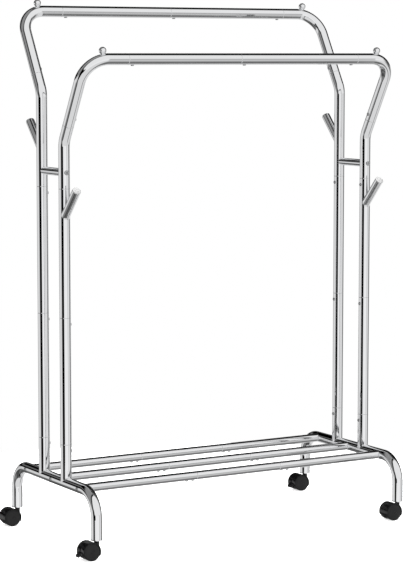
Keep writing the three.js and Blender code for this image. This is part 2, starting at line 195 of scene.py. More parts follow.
class RackFastenerSettings(bpy.types.PropertyGroup):
    head: bpy.props.FloatProperty(
        name="Bolt head", description="Radius of the tube bolts' heads", default=4.6 * MM, unit="LENGTH")
    height: bpy.props.FloatProperty(
        name="Head height", description="How far a head stands out", default=2.6 * MM, unit="LENGTH")
    screw_head: bpy.props.FloatProperty(
        name="Crossbar screw head", description="Radius of the crossbar screws' heads",
        default=7.0 * MM, unit="LENGTH")
    joint_drop: bpy.props.FloatProperty(
        name="Joint bolt", description="From an upright joint to its bolt", default=19 * MM, unit="LENGTH")
    rail_drop: bpy.props.FloatProperty(
        name="Rail bolt", description="From a rail joint to its bolt", default=16 * MM, unit="LENGTH")
    shelf_near: bpy.props.FloatProperty(
        name="Near shelf bolt", description="From a shelf joint to its first bolt", default=10 * MM,
        unit="LENGTH")
    shelf_far: bpy.props.FloatProperty(
        name="Far shelf bolt", description="From a shelf joint to its second bolt", default=30 * MM,
        unit="LENGTH")


class RackCasterSettings(bpy.types.PropertyGroup):
    hood_from: bpy.props.FloatProperty(
        name="Hood start", description="Lower front edge of the hood", default=math.radians(-28),
        subtype="ANGLE")
    hood_to: bpy.props.FloatProperty(
        name="Hood end", description="Lower rear edge of the hood", default=math.radians(202),
        subtype="ANGLE")
    hood_wall: bpy.props.FloatProperty(
        name="Hood wall", description="Thickness of the hood", default=1.3 * MM, unit="LENGTH")
    hood_corner: bpy.props.FloatProperty(
        name="Hood corners", description="Rounding of the hood's four corners", default=5 * MM,
        unit="LENGTH")
    web: bpy.props.FloatProperty(
        name="Web", description="Half thickness between the wheels", default=4 * MM, unit="LENGTH")
    web_floor: bpy.props.FloatProperty(
        name="Web floor", description="Lower edge of the web, from the axle", default=-11 * MM,
        unit="LENGTH")
    slot: bpy.props.FloatProperty(
        name="Lever slot", description="Half width of the slot for a brake lever", default=2.2 * MM,
        unit="LENGTH")
    slot_top: bpy.props.FloatProperty(
        name="Slot top", description="Upper end of the slot, above the axle", default=11 * MM,
        unit="LENGTH")
    slot_depth: bpy.props.FloatProperty(
        name="Slot depth", description="From the hood's outer face", default=18.5 * MM, unit="LENGTH")
    neck: bpy.props.FloatProperty(
        name="Neck", description="Radius of the swivel neck", default=7.5 * MM, unit="LENGTH")
    stem: bpy.props.FloatProperty(
        name="Stem", description="Radius of the swivel stem", default=4 * MM, unit="LENGTH")
    stem_depth: bpy.props.FloatProperty(
        name="Stem depth", description="Length of the stem in the neck", default=20 * MM, unit="LENGTH")
    axle: bpy.props.FloatProperty(
        name="Axle", description="Radius of the axle", default=3 * MM, unit="LENGTH")
    axle_half: bpy.props.FloatProperty(
        name="Axle reach", description="Half length of the axle", default=19 * MM, unit="LENGTH")
    dome: bpy.props.FloatProperty(
        name="Wheel dome", description="Crown of a wheel's outer face", default=3.6 * MM, unit="LENGTH")
    pin: bpy.props.FloatProperty(
        name="Lever pin", description="Radius of the lever's pin", default=1.6 * MM, unit="LENGTH")
    arm: bpy.props.FloatProperty(
        name="Lever arm", description="Half width of the lever's arm", default=1.8 * MM, unit="LENGTH")
    pad: bpy.props.FloatProperty(
        name="Lever pad", description="Half width of the lever's pad", default=8 * MM, unit="LENGTH")


class RackFinishSettings(bpy.types.PropertyGroup):
    chrome: bpy.props.FloatVectorProperty(
        name="Chrome", description="Tint of the plated tube", default=(0.86, 0.865, 0.875),
        subtype="COLOR")
    plastic: bpy.props.FloatVectorProperty(
        name="Hood plastic", description="Colour of the caster hoods", default=(0.003, 0.003, 0.0032),
        subtype="COLOR")
    wheel: bpy.props.FloatVectorProperty(
        name="Wheel plastic", description="Colour of the wheels", default=(0.003, 0.003, 0.0032),
        subtype="COLOR")
    cap: bpy.props.FloatVectorProperty(
        name="Hook caps", description="Colour of the hook caps", default=(0.3, 0.3, 0.3),
        subtype="COLOR")
    floor: bpy.props.FloatVectorProperty(
        name="Floor", description="Colour of the studio floor", default=(0.92, 0.92, 0.92),
        subtype="COLOR")
    polish: bpy.props.FloatProperty(
        name="Polish", description="Roughness of the plated tube", default=0.025, min=0, max=1)


class RackStudioSettings(bpy.types.PropertyGroup):
    azimuth: bpy.props.FloatProperty(
        name="Camera turn", description="From the front towards the right end",
        default=math.radians(-30.4), subtype="ANGLE")
    elevation: bpy.props.FloatProperty(
        name="Camera rise", description="Above the horizon", default=math.radians(6.1), subtype="ANGLE")
    distance: bpy.props.FloatProperty(
        name="Camera distance", description="From the point it looks at", default=6.2086, unit="LENGTH")
    aim_across: bpy.props.FloatProperty(
        name="Aim across", description="Place along X that the camera looks at", default=-1.5 * MM,
        unit="LENGTH")
    aim_height: bpy.props.FloatProperty(
        name="Aim height", description="Height that the camera looks at", default=716.6 * MM,
        unit="LENGTH")
    focal_length: bpy.props.FloatProperty(
        name="Focal length", description="Of the camera", default=135.76, unit="CAMERA")
    floor_radius: bpy.props.FloatProperty(
        name="Floor radius", description="Of the round floor", default=1.3, unit="LENGTH")
    overhead: bpy.props.FloatProperty(
        name="Overhead light", description="Power of the light above", default=300.0, unit="POWER")
    front: bpy.props.FloatProperty(
        name="Front light", description="Power of the light beside the camera", default=15.0,
        unit="POWER")


# ---------------------------------------------------------------- shader maths
class Value:
    """One output of a node; arithmetic on it adds Math nodes."""

    def __init__(self, tree, socket):
        self.tree = tree
        self.socket = socket

    def maths(self, operation, *terms):
        return self.tree.node("ShaderNodeMath", {"operation": operation}, dict(enumerate(terms)))

    def __add__(self, other):
        return self.maths("ADD", self, other)

    __radd__ = __add__

    def __sub__(self, other):
        return self.maths("SUBTRACT", self, other)

    def __rsub__(self, other):
        return self.maths("SUBTRACT", other, self)

    def __mul__(self, other):
        return self.maths("MULTIPLY", self, other)

    __rmul__ = __mul__

    def smooth(self, low, high):
        """0 below low, 1 above high, with a soft step between."""
        settings = {"interpolation_type": "SMOOTHSTEP"}
        inputs = {"Value": self, "From Min": low, "From Max": high}
        return self.tree.node("ShaderNodeMapRange", settings, inputs)


class Tree:
    """A material's or world's node tree, filled by code."""

    def __init__(self, owner):
        owner.use_nodes = True
        self.nodes = owner.node_tree.nodes
        self.links = owner.node_tree.links
        self.nodes.clear()

    def node(self, kind, settings=None, inputs=None, output=0):
        made = self.nodes.new(kind)
        for name, setting in (settings or {}).items():
            if name == "stops":
                self.set_stops(made.color_ramp, setting)
            else:
                setattr(made, name, setting)
        for name, given in (inputs or {}).items():
            if isinstance(given, Value):
                self.links.new(given.socket, made.inputs[name])
            else:
                made.inputs[name].default_value = given
        return Value(self, made.outputs[output]) if made.outputs else made

    @staticmethod
    def set_stops(ramp, stops):
        for place, colour in stops[2:]:
            ramp.elements.new(place)
        for element, (place, colour) in zip(ramp.elements, stops):
            element.position = place
            element.color = (*colour, 1)

    def coordinates(self):
        return self.node("ShaderNodeTexCoord", {}, {}, "Object")

    def stretched(self, scale):
        return self.node("ShaderNodeMapping", {}, {"Vector": self.coordinates(), "Scale": scale})

    def noise(self, scale, detail=3.0, vector=None):
        inputs = {"Vector": vector or self.coordinates(), "Scale": scale, "Detail": detail}
        return self.node("ShaderNodeTexNoise", {}, inputs)

    def ramp(self, value, levels):
        """Grey levels along a value, as (place, level) pairs."""
        stops = [(place, (level, level, level)) for place, level in levels]
        return self.node("ShaderNodeValToRGB", {"stops": stops}, {"Fac": value})

    def mix(self, share, low, high):
        inputs = {"Factor": share, 6: (*low, 1), 7: (*high, 1)}
        return self.node("ShaderNodeMix", {"data_type": "RGBA"}, inputs, output=2)

    def bump(self, height, strength, distance):
        inputs = {"Height": height, "Strength": strength, "Distance": distance}
        return self.node("ShaderNodeBump", {}, inputs)

    def surface(self, inputs):
        shader = self.node("ShaderNodeBsdfPrincipled", {}, inputs)
        self.node("ShaderNodeOutputMaterial", {}, {"Surface": shader})


def shade(colour, factor):
    return tuple(min(1.0, channel * factor) for channel in colour)


def chrome():
    """Bright plated tube: a slow ripple, a faintly uneven tone and a few dull patches."""
    known = bpy.data.materials.get("polished_chrome")
    if known:
        return known
    material = bpy.data.materials.new("polished_chrome")
    tree = Tree(material)
    finishes = bpy.context.scene.rack_finishes
    patches = tree.noise(9.0, 4.0)
    dull = patches.smooth(0.55, 0.8)
    ripple = tree.noise(26.0, 1.0)
    tree.surface({
        "Base Color": tree.mix(patches, shade(finishes.chrome, 0.965), shade(finishes.chrome, 1.015)),
        "Metallic": 1.0,
        "Roughness": finishes.polish + dull * 0.03,
        "Normal": tree.bump(ripple, 0.05, 0.0004),
    })
    return material


def steel_finish():
    """Plain drawn steel of the axles and stems."""
    return metal("drawn_steel", (0.5, 0.505, 0.51), 0.24, (1.0, 1.0, 0.08))


def bolt_finish():
    """Zinc-plated fasteners, greyer than the tubes."""
    return metal("plated_bolt", (0.42, 0.425, 0.43), 0.2, (1.0, 1.0, 1.0))


def metal(name, colour, roughness, stretch):
    known = bpy.data.materials.get(name)
    if known:
        return known
    material = bpy.data.materials.new(name)
    tree = Tree(material)
    grain = tree.noise(900.0, 3.0, tree.stretched(stretch))
    patches = tree.noise(60.0)
    tree.surface({
        "Base Color": tree.mix(patches, shade(colour, 0.9), shade(colour, 1.25)),
        "Metallic": 1.0,
        "Roughness": roughness + grain * 0.16,
        "Normal": tree.bump(grain, 0.15, 0.0001),
    })
    return material


def plastic(name, colour, gloss, texture, scuff, shine):
    """Moulded plastic with a fine surface grain, flow marks and light scuffs."""
    known = bpy.data.materials.get(name)
    if known:
        return known
    material = bpy.data.materials.new(name)
    tree = Tree(material)
    grain = tree.noise(2600.0, 2.0)
    flow = tree.noise(70.0, 3.0)
    scuffs = tree.noise(240.0, 5.0, tree.stretched((1.0, 1.0, 0.25))).smooth(0.6, 0.78)
    tree.surface({
        "Base Color": tree.mix(flow * 0.7 + scuffs * 0.3, shade(colour, 0.85), shade(colour, 1.5)),
        "Roughness": gloss + flow * 0.06 + scuffs * scuff,
        "Specular IOR Level": shine,
        "Normal": tree.bump(grain + flow * 0.5, texture, 0.00012),
    })
    return material


def hood_finish():
    return plastic("moulded_hood", bpy.context.scene.rack_finishes.plastic, 0.12, 0.08, 0.1, 0.4)


def wheel_finish():
    return plastic("moulded_wheel", bpy.context.scene.rack_finishes.wheel, 0.28, 0.2, 0.15, 0.35)


def cap_finish():
    return plastic("moulded_cap", bpy.context.scene.rack_finishes.cap, 0.3, 0.15, 0.1, 0.5)


def floor_finish():
    """Matt pale floor with a barely uneven tone."""
    material = bpy.data.materials.new("floor_paint")
    tree = Tree(material)
    colour = bpy.context.scene.rack_finishes.floor
    tree.surface({
        "Base Color": tree.mix(tree.noise(3.0), shade(colour, 0.985), colour),
        "Roughness": 0.9,
        "Emission Color": (1.0, 1.0, 1.0, 1.0),
        "Emission Strength": 0.7,
    })
    return material


# ---------------------------------------------------------------- mesh helpers
def reach_to_tube(start, way, point, along, radius):
    """How far start has to slide along way to lie on the round tube of that axis and radius."""
    off = start - point
    off -= along * off.dot(along)
    across = way - along * way.dot(along)
    a = across.length_squared
    b = off.dot(across)
    room = b * b - a * (off.length_squared - radius * radius)
    return (-b - math.sqrt(max(room, 0.0))) / a


class TubeSkin:
    """The outer skin of a tube, drawn by walking one ring of edges along its centre line."""

    def __init__(self, bm, start, way, radius, sides):
        self.bm = bm
        self.centre = start.copy()
        self.way = way.normalized()
        self.radius = radius
        placed = Matrix.Translation(start) @ self.way.to_track_quat("Z", "Y").to_matrix().to_4x4()
        made = bmesh.ops.create_circle(bm, cap_ends=False, segments=sides, radius=radius, matrix=placed)
        self.keep(made["verts"])

    def keep(self, verts):
        held = set(verts)
        self.verts = list(verts)
        near = {edge for vert in self.verts for edge in vert.link_edges}
        self.edges = [edge for edge in near if edge.verts[0] in held and edge.verts[1] in held]

    def grow(self):
        made = bmesh.ops.extrude_edge_only(self.bm, edges=self.edges)["geom"]
        self.keep([item for item in made if isinstance(item, bmesh.types.BMVert)])

    def push(self, length):
        self.grow()
        bmesh.ops.translate(self.bm, verts=self.verts, vec=self.way * length)
        self.centre += self.way * length

    def straight(self, length):
        """A straight stretch with a narrow band at each end, which keeps its shading true."""
        self.push(BAND)
        self.push(length - 2 * BAND)
        self.push(BAND)

    def resize(self, radius):
        self.grow()
        share = radius / self.radius
        about = Matrix.Translation(-self.centre)
        bmesh.ops.scale(self.bm, vec=(share, share, share), space=about, verts=self.verts)
        self.radius = radius

    def bend(self, way, bend_radius):
        way = way.normalized()
        turn = self.way.angle(way)
        axis = self.way.cross(way).normalized()
        pivot = self.centre + axis.cross(self.way) * bend_radius
        steps = max(3, round(tube_sizes().bend_steps * turn / math.radians(90)))
        made = bmesh.ops.spin(
            self.bm, geom=self.verts + self.edges, cent=pivot, axis=axis, dvec=(0, 0, 0),
            angle=turn, steps=steps, use_merge=False, use_duplicate=False)["geom_last"]
        self.keep([item for item in made if isinstance(item, bmesh.types.BMVert)])
        self.centre = pivot + Matrix.Rotation(turn, 3, axis) @ (self.centre - pivot)
        self.way = way

    def route(self, corners, radii):
        """Walks from where it is to the last corner, rounding the corners on the way."""
        for i, bend_radius in enumerate(radii, start=1):
            way = (corners[i + 1] - corners[i]).normalized()
            lead = bend_radius * math.tan(self.way.angle(way) / 2)
            self.straight((corners[i] - self.centre).length - lead)
            self.bend(way, bend_radius)
        self.straight((corners[-1] - self.centre).length)

    def cope(self, point, along, radius):
        """Slides the last ring forwards or back until it lies on a round tube that it meets."""
        for vert in self.verts:
            vert.co += self.way * reach_to_tube(vert.co, self.way, point, along, radius)

    def weld(self, point, along, width):
        """Ends the skin on a round tube, with a fillet that stays within the tube's sides."""
        self.cope(point, along, TUBE_RADIUS)
        bmesh.ops.translate(self.bm, verts=self.verts, vec=self.way * -(width + BAND))
        self.push(BAND)
        self.grow()
        side = along.cross(self.way).normalized()
        limit = TUBE_RADIUS - SEAM
        for vert in self.verts:
            out = vert.co - self.centre
            out -= self.way * out.dot(self.way)
            vert.co += out.normalized() * width
            over = (vert.co - point).dot(side)
            vert.co -= side * (over - max(-limit, min(limit, over)))
        self.cope(point, along, TUBE_RADIUS - SEAM)

    def close(self):
        bmesh.ops.edgeloop_fill(self.bm, edges=self.edges)


def lathe(bm, profile, centre, axis, steps):
    """Turns a profile of (radius, height) points round an axis through centre."""
    turn = axis.to_track_quat("Z", "Y").to_matrix()
    verts = [bm.verts.new(centre + turn @ Vector((radius, 0, height))) for radius, height in profile]
    edges = [bm.edges.new(pair) for pair in zip(verts, verts[1:])]
    bmesh.ops.spin(
        bm, geom=verts + edges, cent=centre, axis=axis, dvec=(0, 0, 0),
        angle=math.tau, steps=steps, use_merge=True, use_duplicate=False)


def plate(bm, outline, low, high, centre):
    """A plate across Y, from an outline in X and Z."""
    verts = [bm.verts.new(centre + Vector((x, low, z))) for x, z in outline]
    face = bm.faces.new(verts)
    made = bmesh.ops.extrude_face_region(bm, geom=[face])["geom"]
    moved = [item for item in made if isinstance(item, bmesh.types.BMVert)]
    bmesh.ops.translate(bm, verts=moved, vec=(0, high - low, 0))


def arc(radius, low, high, steps, centre=(0.0, 0.0)):
    """Points on an arc, in degrees from the first axis towards the second."""
    turns = [math.radians(low + (high - low) * i / steps) for i in range(steps + 1)]
    return [(centre[0] + radius * math.cos(t), centre[1] + radius * math.sin(t)) for t in turns]


def millimetres(points):
    return [(first * MM, second * MM) for first, second in points]


def finish_mesh(bm, name, material):
    """Welds the doubles, turns the faces outwards and makes the object."""
    bmesh.ops.remove_doubles(bm, verts=bm.verts, dist=0.002 * MM)
    bmesh.ops.recalc_face_normals(bm, faces=bm.faces)
    for face in bm.faces:
        face.smooth = True
    mesh = bpy.data.meshes.new(name)
    bm.to_mesh(mesh)
    bm.free()
    mesh.materials.append(material)
    piece = bpy.data.objects.new(name, mesh)
    bpy.context.scene.collection.objects.link(piece)
    return piece


def attach(piece, body, slot, *nodes):
    if nodes:
        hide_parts(*nodes)
    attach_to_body(piece, body)


def add_wall(piece, wall):
    """Gives an open skin its wall, inwards."""
    shell = piece.modifiers.new("wall", "SOLIDIFY")
    shell.thickness = wall
    shell.offset = -1
    shell.use_even_offset = True


def soften(piece, width, segments=2):
    edge = piece.modifiers.new("edges", "BEVEL")
    edge.width = width
    edge.segments = segments
    edge.profile = 0.5
    edge.limit_method = "ANGLE"
    edge.angle_limit = math.radians(35)


def tube_sizes():
    return bpy.context.scene.rack_tubes


# ---------------------------------------------------------------- tubes
def tube_mesh(corners, radii, plugs, radius, wall):
    """A tube's skin along its corners, with a reduced spigot at each plugged end."""
    sizes = tube_sizes()
    inner = radius - wall - sizes.play
    first = (corners[1] - corners[0]).normalized()
    last = (corners[-1] - corners[-2]).normalized()
    shoulder = SEAM / 2
    bm = bmesh.new()
    if plugs[0]:
        skin = TubeSkin(bm, corners[0] - first * SPIGOT, first, inner, sizes.sides)
        skin.straight(SPIGOT + shoulder)
        skin.resize(radius)
    else:
        skin = TubeSkin(bm, corners[0] + first * shoulder, first, radius, sizes.sides)
    skin.route(corners[:-1] + [corners[-1] - last * shoulder], radii)
    if plugs[1]:
        skin.resize(inner)
        skin.straight(SPIGOT + shoulder)
    return bm


def tube_piece(bm, name, node, wall):
    piece = finish_mesh(bm, name, chrome())
    add_wall(piece, wall)
    soften(piece, tube_sizes().lip)
    attach(piece, FIXED, "chrome", node)


def main_tube(name, node, corners, radii, plugs):
    wall = tube_sizes().wall
    tube_piece(tube_mesh(corners, radii, plugs, TUBE_RADIUS, wall), name, node, wall)


def hook_line(row, end):
    """A coat hook's root on its upright's axis, and its direction."""
    sizes = tube_sizes()
    rise = -sizes.front_hook_drop if row == "front" else sizes.rear_hook_rise
    lean = sizes.hook_angle
    way = Vector((0, ROWS[row] * math.sin(lean), math.cos(lean)))
    return upright_axis(row, end, MIDDLE_JOINT + rise), way


def hooked_tube(name, node, corners, radii, plugs, row, end):
    """An upright with its welded coat hook."""
    sizes = tube_sizes()
    bm = tube_mesh(corners, radii, plugs, TUBE_RADIUS, sizes.wall)
    root, way = hook_line(row, end)
    skin = TubeSkin(bm, root + way * sizes.hook_length, -way, sizes.hook_radius, sizes.sides)
    skin.push(BAND)
    skin.push(sizes.hook_length - BAND)
    skin.weld(root, Z, sizes.weld)
    tube_piece(bm, name, node, sizes.wall)


class RACK_OT_foot_frames(bpy.types.Operator):
    """Two foot beams, each with its caster legs and two welded stubs for the uprights"""
    bl_idname = "rack.foot_frames"
    bl_label = "Foot frames"

    def execute(self, context):
        sizes = tube_sizes()
        for end in ENDS:
            x = upright_axis("front", end).x
            corners = [
                Vector((x, -LEG_REACH, LEG_BOTTOM - SEAM / 2)),
                Vector((x, -LEG_REACH, BEAM_HEIGHT)),
                Vector((x, LEG_REACH, BEAM_HEIGHT)),
                Vector((x, LEG_REACH, LEG_BOTTOM - SEAM / 2)),
            ]
            bends = [sizes.foot_bend, sizes.foot_bend]
            bm = tube_mesh(corners, bends, (False, False), TUBE_RADIUS, sizes.wall)
            for row in ROWS:
                foot = upright_axis(row, end, BEAM_HEIGHT)
                top = upright_axis(row, end, STUB_JOINT - SEAM / 2)
                stub = TubeSkin(bm, top, -Z, TUBE_RADIUS, sizes.sides)
                stub.push(BAND)
                stub.push(STUB_JOINT - BEAM_HEIGHT - BAND)
                stub.weld(foot, Y, sizes.stub_weld)
            tube_piece(bm, f"foot_tube_{end}", f"foot_frame_{end}", sizes.wall)
        return {"FINISHED"}


class RACK_OT_uprights(bpy.types.Operator):
    """Lower, middle and upper lengths of the four uprights, with a coat hook on each upright"""
    bl_idname = "rack.uprights"
    bl_label = "Uprights"

    def execute(self, context):
        for row, end in SPOTS:
            spot = f"{row}_{end}"
            stub = upright_axis(row, end, STUB_JOINT)
            low = upright_axis(row, end, LOWER_JOINT)
            high = upright_axis(row, end, MIDDLE_JOINT)
            bent = [high, knee(row, end), slope_joint(row, end)]
            bend = [tube_sizes().knee_bend]
            main_tube(f"lower_tube_{spot}", f"lower_upright_{spot}", [stub, low], [], (True, False))
            middle_names = (f"middle_tube_{spot}", f"middle_upright_{spot}")
            upper_names = (f"upper_tube_{spot}", f"upper_upright_{spot}")
            if row == "front":
                hooked_tube(*middle_names, [low, high], [], (True, False), row, end)
                main_tube(*upper_names, bent, bend, (True, True))
            else:
                main_tube(*middle_names, [low, high], [], (True, False))
                hooked_tube(*upper_names, bent, bend, (True, True), row, end)
        return {"FINISHED"}


class RACK_OT_corner_tubes(bpy.types.Operator):
    """Four bent tubes from the sloping ends of the uprights to the rails"""
    bl_idname = "rack.corner_tubes"
    bl_label = "Corner tubes"

    def execute(self, context):
        for row, end in SPOTS:
            x = upright_axis(row, end).x
            joint = RAIL_LEFT if end == "left" else RAIL_RIGHT
            corners = [slope_joint(row, end), rail_axis(row, x), rail_axis(row, joint)]
            bends = [tube_sizes().corner_bend]
            main_tube(f"bent_tube_{row}_{end}", f"corner_tube_{row}_{end}", corners, bends, (False, True))
        return {"FINISHED"}


class RACK_OT_rails(bpy.types.Operator):
    """Two hanging rails of two lengths each"""
    bl_idname = "rack.rails"
    bl_label = "Rails"

    def execute(self, context):
        for row in ROWS:
            left, centre, right = (rail_axis(row, x) for x in (RAIL_LEFT, RAIL_MIDDLE, RAIL_RIGHT))
            main_tube(f"rail_tube_{row}_left", f"rail_{row}_left", [left, centre], [], (False, True))
            main_tube(f"rail_tube_{row}_right", f"rail_{row}_right", [centre, right], [], (False, False))
        return {"FINISHED"}


class RACK_OT_shelf_bars(bpy.types.Operator):
    """Three shelf bars of three lengths each, their ends saddled on the foot beams"""
    bl_idname = "rack.shelf_bars"
    bl_label = "Shelf bars"

    def execute(self, context):
        sizes = tube_sizes()
        for row in SHELVES:
            y = middle(f"shelf_bar_{row}_middle").y
            left, right = (Vector((x, y, BEAM_HEIGHT)) for x in (SHELF_LEFT, SHELF_RIGHT))
            bm = tube_mesh([left, right], [], (True, True), BAR_RADIUS, sizes.bar_wall)
            tube_piece(bm, f"shelf_tube_{row}_middle", f"shelf_bar_{row}_middle", sizes.bar_wall)
            for end, joint in (("left", left), ("right", right)):
                out = X * ENDS[end]
                beam = Vector((upright_axis("front", end).x, y, BEAM_HEIGHT))
                bm = bmesh.new()
                skin = TubeSkin(bm, joint + out * SEAM / 2, out, BAR_RADIUS, sizes.sides)
                skin.push(BAND)
                skin.push((beam - skin.centre).length)
                skin.cope(beam, Y, TUBE_RADIUS + SEAM + BAND)
                skin.push(BAND)
                skin.cope(beam, Y, TUBE_RADIUS + SEAM)
                tube_piece(bm, f"shelf_tube_{row}_{end}", f"shelf_bar_{row}_{end}", sizes.bar_wall)
        return {"FINISHED"}


class RACK_OT_crossbars(bpy.types.Operator):
    """Two crossbars between the front and rear uprights, their ends saddled on the tubes"""
    bl_idname = "rack.crossbars"
    bl_label = "Crossbars"

    def execute(self, context):
        sizes = tube_sizes()
        for end in ENDS:
            front, rear = (upright_axis(row, end, CROSSBAR_HEIGHT) for row in ROWS)
            bm = bmesh.new()
            for start, target in ((front, rear), (rear, front)):
                way = (target - start).normalized()
                skin = TubeSkin(bm, (front + rear) / 2, way, CROSSBAR_RADIUS, sizes.sides)
                skin.push((target - start).length / 2)
                skin.cope(target, Z, TUBE_RADIUS + SEAM + BAND)
                skin.push(BAND)
                skin.cope(target, Z, TUBE_RADIUS + SEAM)
            tube_piece(bm, f"crossbar_tube_{end}", f"crossbar_{end}", sizes.wall)
        return {"FINISHED"}


class RACK_OT_ball_finials(bpy.types.Operator):
    """Four turned balls, each on a short neck screwed into its corner tube"""
    bl_idname = "rack.ball_finials"
    bl_label = "Ball finials"

    def execute(self, context):
        for row, end in SPOTS:
            node = f"ball_finial_{row}_{end}"
            radius = (highest(node).x - lowest(node).x) / 2
            centre = middle(node)
            centre.z = highest(node).z - radius
            neck = radius / 2
            depth = highest(node).z - lowest(node).z - radius
            lowest_turn = -math.degrees(math.acos(neck / radius))
            profile = [(0, -depth), (neck, -depth), *arc(radius, lowest_turn, 90, 40)]
            bm = bmesh.new()
            lathe(bm, profile, centre, Z, tube_sizes().sides)
            piece = finish_mesh(bm, f"ball_{row}_{end}", chrome())
            soften(piece, 0.4 * MM)
            attach(piece, FIXED, "chrome", node)
        return {"FINISHED"}


class RACK_OT_hook_caps(bpy.types.Operator):
    """Four domed plugs that close the coat hooks"""
    bl_idname = "rack.hook_caps"
    bl_label = "Hook caps"

    def execute(self, context):
        sizes = tube_sizes()
        rim = sizes.hook_radius - 0.25 * MM
        plug = sizes.hook_radius - sizes.wall - 0.2 * MM
        dome = [(rim * math.sin(t), 0.5 * MM + sizes.cap_rise * math.cos(t))
                for t in (math.radians(90 - 7.5 * i) for i in range(13))]
        profile = [
            (0, -8 * MM), (plug - 1.5 * MM, -8 * MM), (plug, -6 * MM), (plug, 0.1 * MM), (rim, 0.1 * MM),
        ]
        for row, end in SPOTS:
            root, way = hook_line(row, end)
            bm = bmesh.new()
            lathe(bm, profile + dome, root + way * sizes.hook_length, way, sizes.sides)
            piece = finish_mesh(bm, f"hook_cap_{row}_{end}", cap_finish())
            attach(piece, FIXED, "steel")
        return {"FINISHED"}


# ---------------------------------------------------------------- fasteners
def bolt(bm, place, out, radius, height, sink):
    """A button head with a hexagon socket, its rim sunk to meet the tube's round side."""
    socket = radius * 0.44
    pit = height * 0.7
    dome = [(socket + (radius - socket) * math.sin(t), height * (0.35 + 0.65 * math.cos(t)))
            for t in (math.radians(15 * i) for i in range(7))]
    profile = [*dome, (radius, -sink)]
    lathe(bm, profile, place, out, FASTENER_SIDES)
    turn = out.to_track_quat("Z", "Y").to_matrix().to_4x4()
    rings = []
    for sides, depth in ((FASTENER_SIDES, 0.0), (6, 0.3 * MM), (6, pit)):
        level = Matrix.Translation(place + out * (height - depth)) @ turn
        made = bmesh.ops.create_circle(
            bm, cap_ends=depth == pit, segments=sides, radius=socket, matrix=level)
        rings.append({edge for vert in made["verts"] for edge in vert.link_edges})
    for upper, lower in zip(rings, rings[1:]):
        bmesh.ops.bridge_loops(bm, edges=list(upper | lower))


def bolts(name, places, radius, height, sink):
    """One group of like fasteners, made as one piece on the frame."""
    bm = bmesh.new()
    for place, out in places:
        bolt(bm, place, out, radius, height, sink)
    piece = finish_mesh(bm, name, bolt_finish())
    attach(piece, FIXED, "steel")


class RACK_OT_fasteners(bpy.types.Operator):
    """Bolts of the tube joints, and screws of the shelf bars and the crossbars"""
    bl_idname = "rack.fasteners"
    bl_label = "Fasteners"

    def execute(self, context):
        sizes = context.scene.rack_fasteners
        small = (sizes.head, sizes.height, 1.6 * MM)
        for row, end in SPOTS:
            inward = X * -ENDS[end]
            side = inward * TUBE_RADIUS
            places = [(upright_axis(row, end, joint - sizes.joint_drop) + side, inward)
                      for joint in (STUB_JOINT, LOWER_JOINT, MIDDLE_JOINT)]
            above = slope_joint(row, end) + slope_way(row) * sizes.joint_drop
            bolts(f"upright_bolts_{row}_{end}", places + [(above + side, inward)], *small)
        for row in ROWS:
            reaches = ((RAIL_LEFT, 1), (RAIL_MIDDLE, 1), (RAIL_RIGHT, -1))
            places = [(rail_axis(row, joint + way * sizes.rail_drop) - Z * TUBE_RADIUS, -Z)
                      for joint, way in reaches]
            bolts(f"rail_bolts_{row}", places, *small)
        for row in SHELVES:
            y = middle(f"shelf_bar_{row}_middle").y
            under = Vector((0, y, BEAM_HEIGHT - BAR_RADIUS))
            places = [(under + X * (joint + out * reach), -Z)
                      for joint, out in ((SHELF_LEFT, -1), (SHELF_RIGHT, 1))
                      for reach in (sizes.shelf_near, sizes.shelf_far)]
            bolts(f"shelf_bolts_{row}", places, *small)
        for end, sign in ENDS.items():
            face = upright_axis("front", end).x + sign * TUBE_RADIUS
            room = abs(CAD_BOX[sign > 0][0]) - abs(face)
            x = face - sign * max(0.0, sizes.height - room)
            places = [(Vector((x, middle(f"shelf_bar_{row}_middle").y, BEAM_HEIGHT)), X * sign)
                      for row in SHELVES]
            bolts(f"beam_screws_{end}", places, *small)
            places = [(upright_axis(row, end, CROSSBAR_HEIGHT) + Y * side * TUBE_RADIUS, Y * side)
                      for row, side in ROWS.items()]
            bolts(f"crossbar_screws_{end}", places, sizes.screw_head, sizes.height, 3 * MM)
        return {"FINISHED"}


# ---------------------------------------------------------------- casters
def axle_centre(spot):
    return JOINTS[f"wheel_{spot}_near_spin"]


def hood_radius(spot):
    return axle_centre(spot).x - lowest(f"caster_hood_{spot}").x


